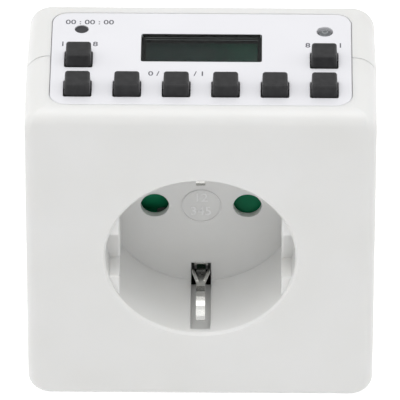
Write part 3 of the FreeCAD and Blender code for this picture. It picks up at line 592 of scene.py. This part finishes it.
def repeatOn(name, unit, points, material):
    # instances of one mesh on a list of points, made real
    tree = bpy.data.node_groups.new(name + "Nodes", "GeometryNodeTree")
    tree.interface.new_socket("Geometry", in_out="INPUT", socket_type="NodeSocketGeometry")
    tree.interface.new_socket("Unit", in_out="INPUT", socket_type="NodeSocketObject")
    tree.interface.new_socket("Size", in_out="INPUT", socket_type="NodeSocketFloat")
    tree.interface.new_socket("Finish", in_out="INPUT", socket_type="NodeSocketMaterial")
    tree.interface.new_socket("Geometry", in_out="OUTPUT", socket_type="NodeSocketGeometry")
    entry = tree.nodes.new("NodeGroupInput")
    leave = tree.nodes.new("NodeGroupOutput")
    info = tree.nodes.new("GeometryNodeObjectInfo")
    place = tree.nodes.new("GeometryNodeInstanceOnPoints")
    real = tree.nodes.new("GeometryNodeRealizeInstances")
    finish = tree.nodes.new("GeometryNodeSetMaterial")
    link = tree.links.new
    link(entry.outputs["Unit"], info.inputs["Object"])
    link(entry.outputs["Geometry"], place.inputs["Points"])
    link(info.outputs["Geometry"], place.inputs["Instance"])
    link(entry.outputs["Size"], place.inputs["Scale"])
    link(place.outputs["Instances"], real.inputs["Geometry"])
    link(real.outputs["Geometry"], finish.inputs["Geometry"])
    link(entry.outputs["Finish"], finish.inputs["Material"])
    link(finish.outputs["Geometry"], leave.inputs["Geometry"])
    cloud = bpy.data.meshes.new(name + "Points")
    cloud.from_pydata([tuple(p) for p in points], [], [])
    holder = meshPiece(name + "Holder", cloud)
    grower = holder.modifiers.new("repeat", "NODES")
    grower.node_group = tree
    sockets = {item.name: item.identifier for item in tree.interface.items_tree if item.in_out == "INPUT"}
    grower[sockets["Unit"]] = unit
    grower[sockets["Size"]] = 1.0
    grower[sockets["Finish"]] = material
    seen = bpy.context.evaluated_depsgraph_get()
    mesh = bpy.data.meshes.new_from_object(holder.evaluated_get(seen))
    mesh.name = name
    for spent in (holder, unit):
        bpy.data.objects.remove(spent)
    return meshPiece(name, mesh)


def capCentre(number):
    low, high = box("button_%d" % number)
    return (low + high) / 2


def openingLiners(values):
    wide, deep = (size * mm / 2 for size in values["opening"])
    skin = values["skin"] * mm
    outer = (-wide, wide, -deep, deep)
    shadeRing = (outer, inset(outer, skin), -values["depth"] * mm, 0)
    unit = meshPiece("linerUnit", ringMesh("linerUnit", [shadeRing]))
    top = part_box("display_window")[1][2] - values["drop"] * mm
    points = []
    for number in range(1, 9):
        middle = capCentre(number)
        points.append((middle.x, middle.y, top))
    finishPiece(repeatOn("openingLiners", unit, points, maskPrintAndShadeBlack), maskPrintAndShadeBlack)


# plain numbers printed behind the buttons: node, words and step to the side in millimetres
numberValues = {"height": 2.17, "behindCap": 0.85, "behindHole": -1.12, "lift": 0.056, "thick": 0.004,
                "marks": (("button_1", "1", 0), ("button_2", "2", 0), ("button_3", "0 /", -4.6),
                          ("button_3", "3", 0), ("button_3", "/ 1", 4.6), ("button_4", "4", 0),
                          ("button_5", "5", 0), ("button_6", "6", 0),
                          ("button_7", "1", -3.3), ("button_7", "-", 0), ("button_7", "8", 3.3),
                          ("button_8", "8", -3.3), ("button_8", "-", 0), ("button_8", "1", 3.3),
                          ("reset_button", "00 : 00 : 00", 1.6))}
strokeValues = {"swell": 0.012, "curveSteps": 3}


def textMesh(name, words, height, thick):
    curve = bpy.data.curves.new(name, "FONT")
    curve.body = words
    curve.size = height
    curve.align_x = "CENTER"
    curve.align_y = "BOTTOM"
    curve.extrude = thick
    curve.offset = height * strokeValues["swell"]
    curve.resolution_u = strokeValues["curveSteps"]
    holder = bpy.data.objects.new(name + "Text", curve)
    scene.collection.objects.link(holder)
    seen = bpy.context.evaluated_depsgraph_get()
    mesh = bpy.data.meshes.new_from_object(holder.evaluated_get(seen))
    bpy.data.objects.remove(holder)
    return mesh


def printNumbers(values):
    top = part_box("display_window")[1][2] + values["lift"] * mm
    work = bmesh.new()
    for node, words, aside in values["marks"]:
        low, high = box(node)
        mesh = textMesh("mark" + node, words, values["height"] * mm, values["thick"] * mm)
        behind = values["behindCap"] if node.startswith("button") else values["behindHole"]
        place = ((low.x + high.x) / 2 + aside * mm, high.y + behind * mm, top)
        mesh.transform(Matrix.Translation(place))
        work.from_mesh(mesh)
        bpy.data.meshes.remove(mesh)
    mesh = bpy.data.meshes.new("printedNumbers")
    work.to_mesh(mesh)
    work.free()
    finishPiece(meshPiece("printedNumbers", mesh), printGrey)


# raised ring and plain numbers on the disc in the well's floor, which lies ahead of the shutter, painted
# paler than the housing as a highlight
discValues = {"radius": 4.0, "wire": 0.09, "raise": 0.08, "rise": 0.03, "floorAhead": 1.7,
              "steps": 96, "around": 8, "numbers": (("12", 0.5, 3.0), ("345", -2.9, 3.0))}


def discMarks(values):
    low, high = box("shutter")
    middle = (low + high) / 2
    floorY = low.y - (values["floorAhead"] + values["raise"]) * mm
    radius = values["radius"] * mm
    wire = values["wire"] * mm
    steps = values["steps"]
    around = values["around"]
    work = bmesh.new()
    rows = []
    for k in range(steps):
        turn = 2 * math.pi * k / steps
        row = []
        for n in range(around):
            small = 2 * math.pi * n / around
            reach = radius + wire * math.cos(small)
            place = (middle.x + reach * math.cos(turn), floorY + wire * math.sin(small),
                     middle.z + reach * math.sin(turn))
            row.append(work.verts.new(place))
        rows.append(row)
    for k in range(steps):
        for n in range(around):
            a, b = rows[k], rows[(k + 1) % steps]
            work.faces.new((a[n], a[(n + 1) % around], b[(n + 1) % around], b[n]))
    upright = Matrix.Rotation(math.pi / 2, 4, "X")
    for words, drop, tall in values["numbers"]:
        mesh = textMesh("disc" + words, words, tall * mm, values["rise"] * mm)
        mesh.transform(Matrix.Translation((middle.x, floorY, middle.z + drop * mm)) @ upright)
        work.from_mesh(mesh)
        bpy.data.meshes.remove(mesh)
    bmesh.ops.recalc_face_normals(work, faces=work.faces)
    mesh = bpy.data.meshes.new("discMarks")
    work.to_mesh(mesh)
    work.free()
    finishPiece(meshPiece("discMarks", mesh), discHighlightWhite)


# faint unlit digits in the display
digitValues = {"width": 2.3, "height": 4.6, "stroke": 0.42, "lean": 0.12, "gap": 0.12, "lift": 0.012,
               "places": (-7.6, -4.4, 0.4, 3.6)}


def ghostDigits(values):
    low, high = box("display_front_glass")
    top = high.z + values["lift"] * mm
    half = values["width"] / 2 * mm
    tall = values["height"] / 2 * mm
    stroke = values["stroke"] / 2 * mm
    gap = values["gap"] * mm
    work = bmesh.new()

    def bar(x0, y0, x1, y1):
        run = Vector((x1 - x0, y1 - y0, 0))
        along = run.normalized()
        side = Vector((-along.y, along.x, 0)) * stroke
        start = Vector((x0, y0, 0)) + along * gap
        end = Vector((x1, y1, 0)) - along * gap
        outline = [start, start + along * stroke + side, end - along * stroke + side, end,
                   end - along * stroke - side, start + along * stroke - side]
        work.faces.new([work.verts.new((v.x + v.y * values["lean"], v.y, 0)) for v in outline])

    for y in (-tall, 0, tall):
        bar(-half, y, half, y)
    for x in (-half, half):
        bar(x, -tall, x, 0)
        bar(x, 0, x, tall)
    mesh = bpy.data.meshes.new("digitUnit")
    work.to_mesh(mesh)
    work.free()
    unit = meshPiece("digitUnit", mesh)
    middle = (low + high) / 2
    points = [(middle.x + x * mm, middle.y, top) for x in values["places"]]
    digits = repeatOn("ghostDigits", unit, points, digitGhost)
    finishPiece(digits, digitGhost)


windowMask(maskValues)
openingLiners(capGapShadeValues)
printNumbers(numberValues)
discMarks(discValues)
ghostDigits(digitValues)
print("mask, liners, numbers and digits made")
